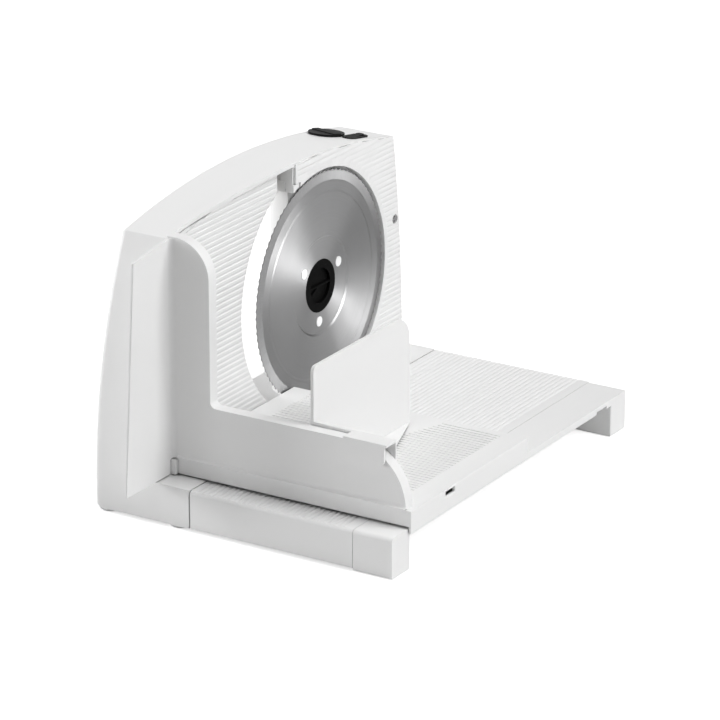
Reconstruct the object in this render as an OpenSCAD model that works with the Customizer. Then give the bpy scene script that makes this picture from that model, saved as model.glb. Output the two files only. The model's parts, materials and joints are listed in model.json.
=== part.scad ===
// Electric food slicer: arched motor housing, round blade, stop plate,
// ribbed table with a sliding carriage and a remnant holder.
// Working frame: X = 0 is the blade's edge plane and +X points to the user's food,
// Y = 0 is the blade axle and +Y is the cutting direction, Z = 0 is the worktop.

/* [Blade] */
// Diameter over the teeth
blade_d = 170; // [160:1:176]
// Height of the lowest tooth above the worktop
blade_low = 21.8; // [20:0.1:27]
// Number of waves round the edge
tooth_count = 96; // [60:1:110]
// Depth of the waves
tooth_depth = 1.1; // [0.6:0.1:1.6]
// Width of the ground bevel
bevel_w = 6.5; // [4:0.5:9]
// Radius of the pressed step in the blade
step_r = 69; // [60:1:73]
// Radius of the raised middle of the blade
middle_r = 37; // [34:1:42]
// Diameter of the centre lock
lock_d = 39.4; // [34:0.2:42]
// Radius of the circle that the rivets lie on
rivet_circle_r = 26.6; // [25:0.2:28]
// Diameter of a rivet's head
rivet_d = 7.4; // [5:0.2:8]

/* [Housing] */
// Depth of the housing behind the blade plane
back_x = 48.3; // [47:0.1:52]
// Reach of the housing in front of the axle, at the foot
near_y = 216.8; // [212:0.2:222]
// Reach of the housing past the blade, at the foot
far_margin = 28.4; // [25:0.2:33]
// Height of the arch's crown above the blade
crown_margin = 16.6; // [15.2:0.1:20]
// Place of the crown along the arch
crown_y = -38; // [-50:1:-30]
// Radius of the arch's top
crown_r = 606; // [560:2:700]
// Radius of the arch's near side
near_r = 440; // [420:5:500]
// Radius of the arch's far side
far_r = 1200; // [1000:10:1500]
// Wall of the housing
wall = 2.4; // [2:0.1:2.8]
// Rounding of the housing's back edge
edge_r = 5; // [3:0.5:6]
// Set-back of the window's near end from the guide rods
window_set = 11; // [10:0.5:30]
// Depth of the arch over the slice window
arch_depth = 14; // [13:0.5:15]

/* [Plates] */
// Face of the fixed front plate, in front of the blade plane
plate_face = 1.75; // [1.5:0.05:1.9]
// Thickness of the front plate
plate_t = 2.95; // [2.6:0.05:3.2]
// Gap round the blade in the front plate
plate_gap = 1.8; // [1.2:0.1:3]
// Stop plate set back from the blade plane, as photographed
slice_t = 6; // [3:0.5:8]
// Thickest slice
slice_max = 15; // [12:0.5:15]
// Thickness of the stop plate
stop_t = 3; // [2.6:0.1:3.2]
// Gap between the blade and the stop plate's cut-out
stop_gap = 8.2; // [5:0.2:11]
// End of the stop plate beside the blade
stop_end_y = -46; // [-48:0.5:-45]
// Pitch of the ribs on plates and table
rib_pitch = 4; // [3:0.25:6]
// Depth of the grooves between ribs
rib_depth = 0.5; // [0.3:0.05:0.8]

/* [Table] */
// Height of the table
table_z = 29.4; // [28.8:0.1:29.6]
// Left edge of the table, at the hinge gap
table_x0 = 31.3; // [31:0.1:33]
// Seam between the table and its end rail
rail_x = 160.75; // [150:0.25:165]
// Right end of the rail
table_x1 = 191.2; // [186:0.1:191.2]
// Set-back of the table's far edge from the housing's
table_inset = 2.65; // [1.4:0.25:7.4]
// Length of the rail's near leg
near_leg = 24.1; // [18:0.1:32]
// Length of the rail's far leg
far_leg = 23.45; // [18:0.05:32]
// Gap under the skirts
foot_gap = 1.8; // [1.5:0.1:2.5]

/* [Carriage] */
// Left edge of the carriage, at the blade
carriage_x0 = 2.2; // [2.1:0.05:3]
// Right side of the carriage
carriage_x1 = 193.6; // [193.6:0.1:197]
// Near face of the carriage
carriage_y0 = -196.4; // [-200:0.2:-192]
// Far edge of the carriage
carriage_y1 = -38.8; // [-60:0.2:-30]
// Height of the carriage's surface
carriage_z = 42.5; // [41.5:0.1:44]
// Height of the low wall
wall_low_z = 84; // [78:0.5:88]
// Height of the tall wall
wall_tall_z = 201; // [190:0.5:203]
// Right edge of the tall wall
wall_tall_x = 35.4; // [30:0.2:40]
// Thickness of the wall from face to face
wall_y_t = 9; // [8:0.5:10]
// Near edge of the thumb guard at its foot
guard_y = -253; // [-256:0.5:-240]
// Near edge of the thumb guard at its top
guard_top_y = -239.6; // [-245:0.2:-225]

/* [Remnant holder] */
// Pushing face of the remnant holder, as photographed
holder_x = 109.7; // [106:0.1:112]
// Height of the holder's plate
holder_z = 125.5; // [118:0.5:130]
// Far edge of the holder's plate
holder_y1 = -62; // [-80:1:-58]

/* [Controls] */
// Diameter of the thickness dial
dial_d = 26.6; // [22:0.2:27]
// Length of the switch
switch_l = 25; // [20:0.5:25]
// Width of the switch
switch_w = 11.4; // [10:0.2:11.6]

/* [Drive] */
// Teeth of the worm wheel
wheel_teeth = 36; // [36:1:36]
// Radius of the worm wheel at its pitch line
wheel_r = 18; // [18:1:18]
// Radius of the worm at its pitch line
worm_pitch_r = 6; // [5.5:0.1:6.5]
// Diameter of the motor
motor_d = 33; // [30:0.5:33]
// Length of the motor's can
motor_l = 44; // [36:1:46]

/* [Hidden] */
$fn = 72;

// Clearances and the overrun of every cut
over = 1;
gap = 0.3;
fit = 0.05;
seat = 0.02;
large_fn = 720;
sliver = 0.05;

// Places that follow the blade
axle_z = blade_low + blade_d / 2;
crown_z = axle_z + blade_d / 2 + crown_margin;
far_y = blade_d / 2 + far_margin;
stop_cut_r = blade_d / 2 + stop_gap;
table_y1 = far_y - table_inset;

// Row frame: the middle of the whole part's floor plan
guard_reach = -guard_y;
shift_x = (back_x - carriage_x1) / 2;
shift_y = (guard_reach - far_y) / 2;

// A share of the housing's reach: towards the user below zero, away above it
function along(share) = share * (share < 0 ? near_y : far_y);

// Where the near side of the arch stands at a height
function near_edge(z) = near_r - near_y - sqrt(near_r * near_r - (z - arc_z) * (z - arc_z));

// Housing
arc_z = 12;
edge_mid_share = 0.3;
cover_t = 2.5;
cover_x = cover_t - back_x;
lip_set = 0.75;
shell_x = plate_face - lip_set;
plate_back = plate_face - plate_t;
front_wall_x = plate_back - wall;
pocket_depth = 3;
pocket_x = plate_back - pocket_depth;
pan_t = 2.5;
pan_x = pocket_x - pan_t;
pan_rim = 5;
pan_r = blade_d / 2 + pan_rim;
pocket_r = blade_d / 2 + plate_gap + gap;
slot_depth = 0.85;
slot_x = plate_face + slot_depth;
nub_y = -28;
nub_drop = 16.4;
nub_z = crown_z - nub_drop;
stop_play = 2;
recess_x = -(slice_max + stop_t + stop_play);
recess_step = 1.9;
recess_floor_z = table_z + recess_step;
block_step = 0.6;
block_z = table_z + block_step;
hinge_gap = 0.7;
block_x = table_x0 - hinge_gap;
lip_t = 1.2;

// Gear compartment: its wall beside the slice window runs back along a slant
body_y = -36;
slant_x = -18.6;
slant_share = 1.548;
slant_wall = 2.2;
slant_shift = slant_wall * sqrt(1 + slant_share * slant_share);
corner_r = 33;
corner_turn = atan(slant_share);
corner_cx = slant_x + corner_r * tan(corner_turn / 2);
corner_cy = body_y + corner_r;
corner_steps = 18;
end_x = 0.1;
end_t = 1.7;

// Swept front edge of the arch's top over the stop plate, as shares of
// the recess's depth and of the housing's reach
sweep_share = [[0.025, -0.401], [0.15, -0.54], [0.45, -0.738], [0.525, -0.8164]];
sweep = [for (p = sweep_share) [p[0] * recess_x, along(p[1])]];
sweep_y = -53;

// Drive
wheel_x0 = -26.7;
wheel_x1 = -20.3;
worm_x = (wheel_x0 + wheel_x1) / 2;
worm_y = wheel_r + worm_pitch_r;
gear_module = 2 * wheel_r / wheel_teeth;
worm_lead = PI * gear_module;
addendum = gear_module;
dedendum = 1.25 * gear_module;
wheel_tooth_share = [0.26, 0.1];
worm_share = [0.2, 0.36, 0.84];
worm_half = 11;
worm_points = 16;
worm_slices = 10;
worm_turn = 54;
axle_r = 4;
bush_t = 3.5;
front_bush_x0 = -13;
rear_bush_x0 = -36;
rear_bush_x1 = -30;
rear_bush_r = 6.5;
boss_wall = 3;
shaft_r = 2.5;
bracket_t = 2;
bracket_low = 21.2;
bracket_high = 14.1;
bracket_z0 = axle_z - bracket_low;
bracket_z1 = axle_z + bracket_high;
bracket_x0 = -36;
bracket_x1 = -11;
bracket_y0 = 8;
web_y = 36;
motor_top_z = bracket_z0;
motor_z0 = motor_top_z - motor_l;
motor_bolt_dx = 10.5;
bell_h = 8;
can_t = 1.5;
armature_r = 11;
armature_room = 16;
armature_l = motor_l - armature_room;
air_gap = 1;
magnet_gap = 8;
commutator_r = 4;
brush_rise = 1.2;
brush_w = 3;
brush_h = 2.6;
tab_t = 0.8;
tab_l = 5;
flange_x = -14;
flange_y1 = 49;
bolt_r = 1.5;
bolt_head_r = 2.8;
bolt_head_h = 1.8;
bracket_bolt_y = 43.5;
bracket_bolt_low = 11;
bracket_bolt_high = 7;
bracket_bolt_z = [axle_z - bracket_bolt_low, axle_z + bracket_bolt_high];

// Dial, rack and pinion
dial_x = -28.5;
dial_y = 54.5;
dial_tilt = asin((dial_y - crown_y) / crown_r);
dial_h = 1.3;
grip_h = 2;
grip_w = 7;
grip_turn = -17;
pinion_teeth = 12;
pinion_r = 4.8;
pinion_m = 2 * pinion_r / pinion_teeth;
pinion_tooth_share = [0.34, 0.13];
rack_tooth_share = [0.27, 0.11];
pinion_z0 = -15;
pinion_z1 = -9;
dial_shaft_r = 3;
dial_boss_r = 7;
dial_boss_h = 8.7;
rack_h = 4.4;
rack_x0 = -36.4;
rack_x1 = -15.5;
arm_t = 3;
arm_set = 10.4;
arm_x1 = -(slice_t + arm_set);
arm_drop = 20.1;
arm_h = 4.3;
arm_z0 = crown_z - arm_drop;
arm_z1 = arm_z0 + arm_h;
arm_y0 = -70;
arm_pad = 12;
arm_run = 14;
arm_slot_x = -10.1;
arm_slot_z = arm_z1 + gap;

// Switch
switch_x = -9.2;
switch_y = 62.9;
rocker_tilt = 5;
switch_tilt = asin((switch_y - crown_y) / crown_r);
bezel_w = 1.3;
bezel_h = 0.9;
rocker_gap = 0.4;
rocker_top = 1.2;
rocker_pivot = -1.5;
rocker_bottom = -3;
bezel_drop = 4.2;
switch_box_h = 12;

// Stop plate guides
stop_x = -slice_t;
rod_r = 3;
sleeve_r = 6;
sleeve_l = 25;
rod_share = [0.2975, 0.72];
rod_z = [for (share = rod_share) share * crown_z];
rod_in = 11.6;
rod_y = near_edge(rod_z[1]) + rod_in;
window_y = rod_y + window_set;
rod_tuck = 0.5;
rod_front = recess_x - rod_tuck;
rod_boss_h = 2;

// Feet, screws, gland
foot_r = 8.2;
foot_edge = 1.2;
foot_lip = 0.4;
foot_step_r = 5;
foot_seat = 2.6;
foot_back = 9.3;
foot_front = 11.6;
foot_x = [foot_back - back_x, block_x - foot_front];
foot_near = 7.8;
foot_far = 18.4;
foot_y = [foot_near - near_y, far_y - foot_far];
foot_post_r = 10;
cover_bolt_share = [[-0.941, 0.163], [-0.701, 0.9127], [0.176, 0.9453], [0.82, 0.8157], [0.917, 0.1536]];
cover_bolts = [for (p = cover_bolt_share) [along(p[0]), p[1] * crown_z]];
cover_webs = [180, 90, 90, 0, 0];
cover_web_l = 14;
cover_post_r = 4;
cover_post_l = 12;
plate_border = 5;
plate_bolt_share = [0.889, 0.617];
plate_bolt = [along(plate_bolt_share[0]), plate_bolt_share[1] * crown_z];
plate_bolt_r = 3.3;
gland_r = 7;
gland_bore = 3.3;
gland_in = 25.4;
gland_y = far_y - gland_in;
gland_z = 36;
gland_l = 5.3;

// Blade, its rivets and its lock
rim_half = 0.25;
blade_back = -0.6;
dish_back = 0.15;
hub_face = 0.35;
body_x = 0.9;
step_x = 1.3;
step_run = 0.8;
hub_run = 1.4;
root_lap = 0.5;
tooth_steps = 6;
blade_fn = 180;
rivet_a = [-64.5, 55.5, 175.5];
rivet_shank_r = 2;
rivet_head_h = 0.45;
rivet_x0 = -2.4;
flange_r = 31.5;
flange_lift = 0.5;
flange_x0 = pocket_x + flange_lift;
flange_web = 1.05;
cup_r = 14.5;
cup_x = flange_x0 + flange_web + fit;
lock_recess_r = 13;
lock_web = 0.7;
lock_bar = 1.5;
lock_rib_turn = 208;
lock_rib = 0.8;

// Table, rail and hinge
groove_share = 0.35;
deck_t = 2.6;
skirt_t = 2.4;
table_edge_r = 3;
strip_t = 6;
leg_t = 3;
notch_w = 15;
notch_y = 66;
notch_d = 3;
pin_r = 2.5;
pin_x = 22.5;
pin_z = 17;
pin_l = 28;
lug_w = 16;
lug_r = 5;
lug_share = [-0.692, 0.441];
lug_y = [for (share = lug_share) along(share)];
knuckle_t = 6;
rail_bolt_share = [-0.692, -0.231, 0.397];
rail_bolt_y = [for (share = rail_bolt_share) along(share)];
rail_flange = 9;

// Carriage
tray_t = 2.6;
lip_clear = 1.2;
lip_z = table_z + lip_clear;
side_z = 26;
side_t = carriage_x1 - table_x1 - gap;
runner_share = [0.2325, 0.49, 0.723, 0.904];
runner_w = 2;
catch_l = 12;
catch_h = 3.6;
catch_in = 51.9;
catch_drop = 3.9;
catch_y = carriage_y0 + catch_in;
catch_z = carriage_z - catch_drop;
wall_skin = 2.2;
low_end_r = wall_low_z - carriage_z;
low_end_in = 4.1;
low_end_x = carriage_x1 - low_end_in;
tall_corner_r = 27;
guard_t = 2.5;
guard_top_drop = 7;
guard_top_z = wall_tall_z - guard_top_drop;
guard_join = 1;
cove_r = 4;
groove_h = 0.7;
groove_d = 1.5;
bead_r = 2;
bead_lip = 0.6;
lug_x0 = 4;
lug_x1 = 8.5;
lug_drop = 0.9;
lug_top = carriage_z - lug_drop;
lug_out = 3.5;
wall_bolt_share = [0.103, 0.3615, 0.62, 0.878];
wall_bolt_x = [for (share = wall_bolt_share) share * carriage_x1];
wall_bolt_y = carriage_y0 + skirt_t + bolt_head_r + gap;

// Fine ribs on the carriage, along X, in two fields beside a smooth diagonal
tray_rib = 0.35;
field_x0 = 20;
field_x1 = 176;
field_pitch = 4;
field_rib_share = 0.4;
field_border = 8;
field_near_l = 20;
field_run = 50;
field_skip = 60;

// Remnant holder
holder_t = 2.3;
holder_floor = 2;
hook_x0 = 142;
hook_x1 = 176;
hook_t = 2;
hook_drop = 13;
ledge_h = 2.2;
gusset_x = 46;
corner_far_r = 18;
corner_near_r = 4;

shell_white = [0.93, 0.93, 0.92];
rubber_grey = [0.45, 0.45, 0.46];
control_black = [0.06, 0.06, 0.06];
steel = [0.75, 0.76, 0.77];
gear_cream = [0.9, 0.87, 0.76];
bronze = [0.72, 0.55, 0.3];

module in_frame() {
    translate([shift_x, shift_y, 0]) children();
}

// Extrusions of an outline along each axis of the working frame
module along_x(x0, x1) {
    translate([x0, 0, 0]) rotate([90, 0, 90]) linear_extrude(x1 - x0) children();
}

module along_y(y0, y1) {
    translate([0, y1, 0]) rotate([90, 0, 0]) linear_extrude(y1 - y0) children();
}

module along_z(z0, z1) {
    translate([0, 0, z0]) linear_extrude(z1 - z0) children();
}

module rod_x(x0, x1, r) {
    translate([x0, 0, 0]) rotate([0, 90, 0]) cylinder(h = x1 - x0, r = r);
}

module at_axle() {
    translate([0, 0, axle_z]) children();
}

module block(x0, x1, y0, y1, z0, z1) {
    translate([x0, y0, z0]) cube([x1 - x0, y1 - y0, z1 - z0]);
}

// Side view of the housing: three large arcs over a flat foot
module outline(inset = 0) {
    intersection() {
        translate([crown_y, crown_z - crown_r]) circle(r = crown_r - inset, $fn = large_fn);
        translate([near_r - near_y, arc_z]) circle(r = near_r - inset, $fn = large_fn);
        translate([far_y - far_r, arc_z]) circle(r = far_r - inset, $fn = large_fn);
        translate([-near_y, foot_gap + inset]) square([near_y + far_y, crown_z]);
    }
}

module arch_form() {
    mid = edge_mid_share * edge_r;
    hull() {
        along_x(-back_x, sliver - back_x) outline(edge_r);
        along_x(mid - back_x, mid + sliver - back_x) outline(mid);
        along_x(edge_r - back_x, shell_x) outline(0);
    }
}

function slant_at(x) = body_y + (slant_x - x) * slant_share;

// Rounded corner between the compartment's end and its slant
function corner_arc(r) = [for (i = [0 : corner_steps])
    let (a = -90 - i * corner_turn / corner_steps) [corner_cx + r * cos(a), corner_cy + r * sin(a)]];

// Plan of the gear compartment, outside and inside its walls
module body_plan() {
    polygon(concat([[block_x, body_y]], corner_arc(corner_r),
        [[-back_x - over, slant_at(-back_x - over)], [-back_x - over, far_y + over],
        [block_x, far_y + over]]));
}

module body_room_plan() {
    polygon(concat([[0, body_y + slant_wall]], corner_arc(corner_r - slant_wall),
        [[cover_x - over, slant_at(cover_x - over) + slant_shift], [cover_x - over, far_y + over],
        [0, far_y + over]]));
}

// Slice window in the side view; grow widens it by a wall
module window(grow = 0) {
    intersection() {
        outline(arch_depth - grow);
        translate([window_y - grow, recess_floor_z - grow]) square([far_y - window_y, crown_z]);
    }
}

module above(z) {
    translate([-near_y - over, z]) square([near_y + far_y + 2 * over, crown_z]);
}

module window_cut() {
    difference() {
        along_x(-back_x - over, recess_x + over) window();
        along_z(-over, crown_z + over) body_plan();
    }
}

// Room in front of the arch in which the stop plate moves
module stop_room() {
    difference() {
        along_x(recess_x, block_x + over) intersection() {
            outline(wall + gap);
            above(recess_floor_z);
        }
        along_z(-over, crown_z + over) body_plan();
    }
}

// Everything in front of the swept front edge, over the stop plate
module front_sweep() {
    last = sweep[len(sweep) - 1];
    along_z(block_z, crown_z + over) polygon(concat([[shell_x, sweep_y]], sweep,
        [[last[0], -near_y - over], [block_x + over, -near_y - over], [block_x + over, sweep_y]]));
}

module shell_room() {
    along_x(cover_x - over, recess_x - wall) difference() {
        outline(wall);
        window(wall);
    }
    intersection() {
        along_x(cover_x - over, front_wall_x) outline(wall);
        along_z(-over, crown_z + over) body_room_plan();
    }
}

module block_room() {
    difference() {
        union() {
            block(recess_x, block_x - wall, wall - near_y, body_y - wall, -over, block_z - wall);
            block(shell_x, block_x - wall, body_y - wall - over, table_y1 - wall, -over, block_z - wall);
        }
        at_axle() rod_x(pan_x, slot_x + wall, pan_r);
        for (y = foot_y) translate([foot_x[1], y, 0]) cylinder(h = block_z, r = foot_post_r);
        for (y = lug_y, side = [-1, 1]) let (mid = y + side * (lug_w + knuckle_t + 2 * gap) / 2)
            block(pin_x - 2 * lug_r, block_x, mid - knuckle_t / 2, mid + knuckle_t / 2, 0, block_z);
    }
}

module dial_frame() {
    translate([dial_x, dial_y, crown_z - crown_r]) translate([0, crown_y - dial_y, 0])
        rotate([-dial_tilt, 0, 0]) translate([0, 0, crown_r]) children();
}

module switch_frame() {
    translate([switch_x, crown_y, crown_z - crown_r])
        rotate([-switch_tilt, 0, 0]) translate([0, 0, crown_r]) children();
}

// Outline with two round ends: two discs and a bar
module stadium(l, w) {
    for (side = [-1, 1]) translate([0, side * (l - w) / 2]) circle(d = w);
    square([w, l - w], center = true);
}

// Places a child at a (y, z) point of the side view
module at_yz(p) {
    translate([0, p[0], p[1]]) children();
}

module housing() {
    slot_y1 = slant_at(-slice_max - arm_run) + slant_shift;
    in_frame() color(shell_white) difference() {
        union() {
            difference() {
                union() {
                    arch_form();
                    block(recess_x, block_x, -near_y, table_y1, foot_gap, block_z);
                }
                block(-back_x - over, cover_x, -near_y - over, far_y + over, 0, crown_z + over);
                block(shell_x, block_x + over, -near_y - over, far_y + over, block_z, crown_z + over);
                block(block_x, block_x + over, -near_y - over, far_y + over, 0, crown_z);
                front_sweep();
                stop_room();
                window_cut();
                shell_room();
                block_room();
                front_plate_room();
            }
            bosses();
        }
        at_axle() rod_x(pocket_x, slot_x, pocket_r);
        at_axle() rod_x(front_bush_x0 - over, pocket_x + over, axle_r + bush_t);
        at_axle() rod_x(rear_bush_x0, rear_bush_x1 + over, rear_bush_r);
        for (z = rod_z) at_yz([rod_y, z]) rod_x(recess_x - wall - over, recess_x + over, sleeve_r + gap);
        block(-slice_max - arm_run, arm_slot_x, body_y - over, slot_y1, arm_z0 - gap, arm_slot_z);
        block(end_x, block_x, body_y - over, body_y + end_t, nub_z, crown_z - wall - end_t);
        dial_frame() translate([0, 0, -dial_boss_h - over])
            cylinder(h = dial_boss_h + 2 * over, r = dial_shaft_r + fit);
        switch_frame() along_z(-2 * wall, over)
            stadium(switch_l - 2 * bezel_w, switch_w - 2 * bezel_w);
        for (y = lug_y) block(pin_x - lug_r - gap, block_x + over, y - lug_w / 2 - gap,
            y + lug_w / 2 + gap, pin_z - lug_r - gap, block_z - wall);
        for (y = lug_y) translate([pin_x, y - pin_l / 2, pin_z]) rotate([-90, 0, 0])
            cylinder(h = pin_l, r = pin_r + seat);
        for (p = cover_bolts) at_yz(p)
            rod_x(cover_x - over, cover_x + cover_post_l - over, bolt_r + seat);
        for (z = bracket_bolt_z) at_yz([bracket_bolt_y, z])
            rod_x(flange_x, pan_x + over, bolt_r + seat);
        at_yz(plate_bolt) rod_x(front_wall_x - cover_post_l, plate_back + over, bolt_r + seat);
        for (x = foot_x, y = foot_y) translate([x, y, -over])
            cylinder(h = foot_gap + foot_seat + over, r = foot_step_r + seat);
    }
}

module front_plate_room() {
    difference() {
        intersection() {
            along_x(plate_back, block_x) intersection() {
                outline(lip_t);
                above(recess_floor_z);
            }
            block(plate_back - over, block_x, body_y + end_t, far_y + over, 0, crown_z);
        }
        block(plate_back - over, block_x, body_y - over, nub_y, axle_z, nub_z);
    }
}

// Bosses inside the shell
module bosses() {
    intersection() {
        at_axle() rod_x(pan_x, front_wall_x + sliver, pan_r);
        along_z(0, crown_z) body_plan();
    }
    intersection() {
        union() {
            block(arm_slot_x, plate_back, body_y, body_y + 2 * wall, arm_z0 - gap, crown_z);
            block(arm_slot_x, end_x, body_y, body_y + end_t, arm_z0 - gap, crown_z);
        }
        along_x(arm_slot_x, end_x) outline(wall);
    }
    at_axle() rod_x(front_bush_x0, pan_x + sliver, axle_r + bush_t + boss_wall);
    intersection() {
        at_axle() rod_x(rear_bush_x0 - boss_wall, rear_bush_x1, rear_bush_r + boss_wall);
        along_z(0, crown_z) body_plan();
    }
    for (z = bracket_bolt_z) at_yz([bracket_bolt_y, z])
        rod_x(flange_x + bracket_t, pan_x + sliver, cover_post_r);
    at_yz(plate_bolt) rod_x(front_wall_x - 2 * wall, front_wall_x + sliver, cover_post_r);
    for (i = [0 : len(cover_bolts) - 1]) intersection() {
        at_yz(cover_bolts[i]) {
            rod_x(cover_x, cover_x + cover_post_l, cover_post_r);
            rotate([cover_webs[i], 0, 0])
                block(cover_x, cover_x + cover_post_l, 0, cover_web_l, -wall / 2, wall / 2);
        }
        along_x(cover_x, 0) outline(wall - sliver);
    }
    dial_frame() translate([0, 0, -dial_boss_h]) cylinder(h = dial_boss_h - over, r = dial_boss_r);
    for (y = foot_y) translate([foot_x[0], y, foot_gap])
        cylinder(h = foot_seat + wall, r = foot_step_r + wall / 2);
}

module rear_cover() {
    in_frame() color(shell_white) difference() {
        union() {
            intersection() {
                arch_form();
                block(-back_x - over, cover_x, -near_y, far_y + over, 0, crown_z + over);
            }
            for (z = rod_z) at_yz([rod_y, z])
                rod_x(cover_x - sliver, cover_x + rod_boss_h, rod_r + wall);
        }
        window_cut();
        for (z = rod_z) at_yz([rod_y, z])
            rod_x(cover_x - cover_t / 2, cover_x + rod_boss_h + over, rod_r + seat);
        for (p = cover_bolts) at_yz(p) {
            rod_x(-back_x - over, cover_x + over, bolt_r + gap);
            rod_x(-back_x - over, bolt_head_h - back_x, bolt_head_r + gap);
        }
        at_yz([gland_y, gland_z]) rod_x(-back_x - over, cover_x + over, gland_r - wall / 2 + seat);
    }
}

module cross_head(r, h) {
    for (a = [0, 90]) rotate([a, 0, 0]) translate([-over, -r / 6, -0.7 * r])
        cube([h + over, r / 3, 1.4 * r]);
}

// Cross-head screw along X with its head at x = 0 facing -X
module screw(length, head_r = bolt_head_r, head_h = bolt_head_h) {
    difference() {
        union() {
            rod_x(0, head_h, head_r);
            rod_x(head_h - sliver, length, bolt_r);
        }
        cross_head(head_r, head_h / 2);
    }
}

module rear_cover_screws() {
    in_frame() color(steel) for (p = cover_bolts) translate([-back_x, p[0], p[1]])
        screw(cover_t + cover_post_l - 2 * over);
}

module cord_gland() {
    in_frame() color(control_black) translate([0, gland_y, gland_z]) difference() {
        union() {
            rod_x(-back_x, gland_l - back_x, gland_r - wall / 2);
            rod_x(cover_x, cover_x + gland_l, gland_r);
        }
        rod_x(-back_x - over, cover_x + gland_l + over, gland_bore);
    }
}

module rubber_feet() {
    in_frame() color(rubber_grey) for (x = foot_x, y = foot_y) translate([x, y, 0]) rotate_extrude()
        polygon([[0, 0], [foot_r - foot_edge, 0], [foot_r - gap, foot_lip], [foot_r, foot_gap - seat],
            [foot_step_r, foot_gap - seat], [foot_step_r, foot_gap + foot_seat - gap],
            [0, foot_gap + foot_seat - gap]]);
}

// Grooves between ribs that run along Y on a face that looks to +X
module x_face_grooves(face, y0, y1, z0, z1) {
    n = floor((z1 - z0) / rib_pitch);
    for (i = [0 : n]) block(face - rib_depth, face + over, y0, y1,
        z0 + i * rib_pitch, z0 + (i + groove_share) * rib_pitch);
}

module front_plate() {
    in_frame() color(shell_white) difference() {
        intersection() {
            along_x(plate_back, plate_face) intersection() {
                outline(lip_t + gap);
                above(recess_floor_z);
            }
            block(plate_back, plate_face, body_y + end_t + gap, far_y, 0, crown_z);
        }
        at_axle() rod_x(plate_back - over, plate_face + over, blade_d / 2 + plate_gap);
        block(plate_back - over, plate_face + over, body_y, nub_y + gap, axle_z, nub_z + gap);
        difference() {
            x_face_grooves(plate_face, body_y + plate_border, far_y,
                recess_floor_z + plate_border, crown_z);
            at_axle() rod_x(plate_back, plate_face + over, blade_d / 2 + plate_gap + plate_border);
            at_yz(plate_bolt) rod_x(plate_back, plate_face + over, plate_bolt_r + wall);
        }
        at_yz(plate_bolt) {
            rod_x(plate_back - over, plate_face + over, bolt_r + gap);
            rod_x(plate_face - bolt_head_h - rib_depth, plate_face + over, plate_bolt_r + gap);
        }
    }
}

module front_plate_screw() {
    in_frame() color(steel) translate([plate_face - rib_depth, plate_bolt[0], plate_bolt[1]])
        rotate([0, 0, 180]) screw(plate_t + 2 * wall, plate_bolt_r);
}

module stop_plate() {
    in_frame() color(shell_white) difference() {
        union() {
            difference() {
                along_x(stop_x - stop_t, stop_x) intersection() {
                    outline(wall + 4 * gap);
                    translate([-near_y, recess_floor_z + gap]) square([near_y + stop_end_y, crown_z]);
                }
                at_axle() rod_x(stop_x - stop_t - over, stop_x + over, stop_cut_r);
                intersection() {
                    x_face_grooves(stop_x, -near_y, stop_end_y + over, recess_floor_z + rib_pitch, crown_z);
                    along_x(stop_x - stop_t, stop_x + over) outline(wall + 6 * gap);
                }
            }
            for (z = rod_z) at_yz([rod_y, z])
                rod_x(stop_x - stop_t - sleeve_l, stop_x - stop_t + sliver, sleeve_r);
        }
        for (z = rod_z) at_yz([rod_y, z])
            rod_x(stop_x - stop_t - sleeve_l - over, stop_x - stop_t, rod_r + fit);
    }
}

// Pinion teeth as a polygon with flat tips
module pinion_outline() {
    root = pinion_r - 1.2 * pinion_m;
    tip = pinion_r + 0.9 * pinion_m;
    foot = pinion_tooth_share[0];
    top = pinion_tooth_share[1];
    polygon([for (i = [0 : pinion_teeth - 1], p = [[root, -foot], [tip, -top], [tip, top], [root, foot]])
        p[0] * [cos(360 * (i + p[1]) / pinion_teeth), sin(360 * (i + p[1]) / pinion_teeth)]]);
}

// Rack along X, its teeth towards +Y, pitch line at y = 0
module rack_outline() {
    pitch = PI * pinion_m;
    root = -1.1 * pinion_m;
    tip = 0.8 * pinion_m;
    from = rack_x0 - dial_x;
    to = rack_x1 - dial_x;
    foot = rack_tooth_share[0];
    top = rack_tooth_share[1];
    first = ceil(from / pitch) + 0.5;
    last = floor(to / pitch) - 0.5;
    polygon(concat([[from, -rack_h], [from, root]],
        [for (i = [first : last], p = [[-foot, root], [-top, tip], [top, tip], [foot, root]])
            [(i + p[0]) * pitch, p[1]]],
        [[to, root], [to, -rack_h]]));
}

module stop_carrier() {
    arm_y1 = dial_y - pinion_r - rack_h;
    in_frame() color(gear_cream) union() {
        dial_frame() translate([0, -pinion_r, 0])
            along_z(pinion_z0 + gap, pinion_z1 - gap) rack_outline();
        block(arm_x1 - arm_t, arm_x1, arm_y0, arm_y1, arm_z0, arm_z1);
        block(arm_x1 - arm_t, stop_x - stop_t, arm_y0, arm_y0 + arm_pad, arm_z0, arm_z1);
    }
}

module guide_rods() {
    in_frame() color(steel) for (z = rod_z) at_yz([rod_y, z])
        rod_x(cover_x - cover_t / 2, rod_front, rod_r);
}

module thickness_dial() {
    in_frame() color(control_black) dial_frame() translate([0, 0, gap]) {
        cylinder(h = dial_h, r = dial_d / 2);
        rotate([0, 0, grip_turn]) intersection() {
            translate([-dial_d / 2, -grip_w / 2, 0]) cube([dial_d, grip_w, grip_h]);
            cylinder(h = grip_h, r = dial_d / 2 - 2 * gap);
        }
    }
}

module dial_pinion() {
    in_frame() color(gear_cream) dial_frame() {
        along_z(pinion_z0, pinion_z1) pinion_outline();
        translate([0, 0, pinion_z0]) cylinder(h = gap - pinion_z0, r = dial_shaft_r);
    }
}

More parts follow.
